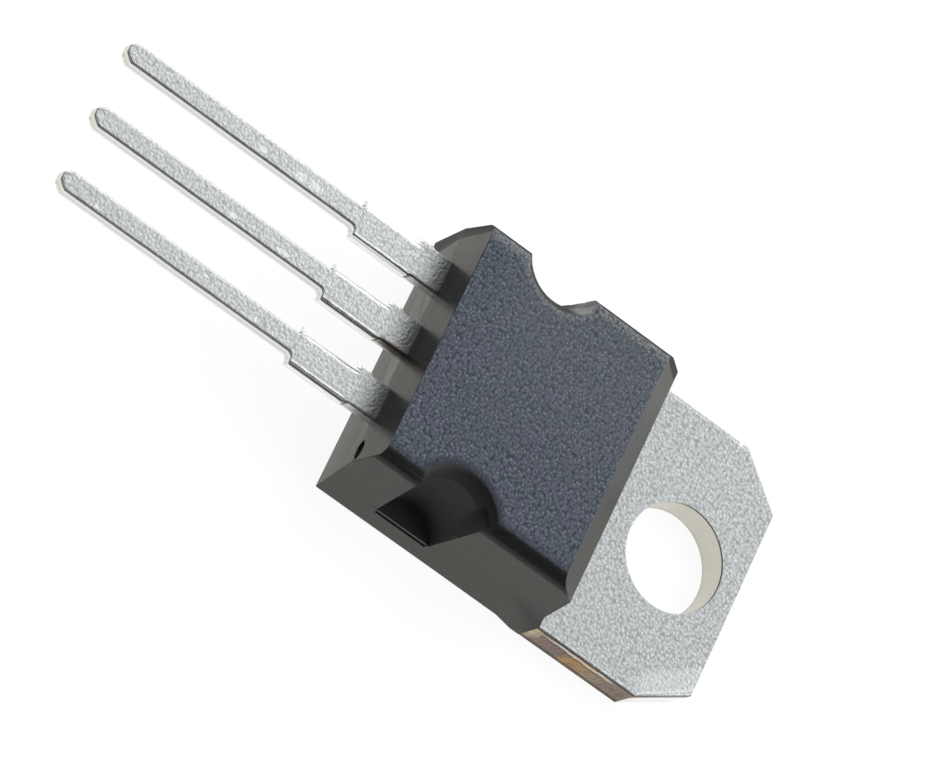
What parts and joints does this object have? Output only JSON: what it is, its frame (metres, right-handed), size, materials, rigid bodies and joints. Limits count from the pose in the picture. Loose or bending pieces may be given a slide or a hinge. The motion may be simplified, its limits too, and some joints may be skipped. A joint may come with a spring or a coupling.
{
  "type": "power transistor",
  "caption": "Tab-package power transistor: plated copper tab with a round mounting hole, black moulded body with side notches, stepped flat leads.",
  "frame": {"origin": "centre of the mounting hole at the tab's back face", "axes": "+Z along the mounting hole, out of the front; +Y towards the tab's end, the leads leave towards -Y; +X to the right when the front faces the viewer with the leads down"},
  "size_m": [0.01, 0.0285, 0.0045],
  "materials": {
    "plated_copper": null,
    "plated_lead": null,
    "solder": null,
    "silicon": null,
    "bond_wire": "satin",
    "moulding": "matt, finely textured epoxy moulding compound"
  },
  "bodies": {
    "root": {"heat_tab": "plated_copper", "base_lead": "plated_lead", "emitter_lead": "plated_lead", "die_solder": "solder", "silicon_die": "silicon", "base_wire": "bond_wire", "emitter_wire": "bond_wire", "moulded_body": "moulding"}
  },
  "joints": []
}
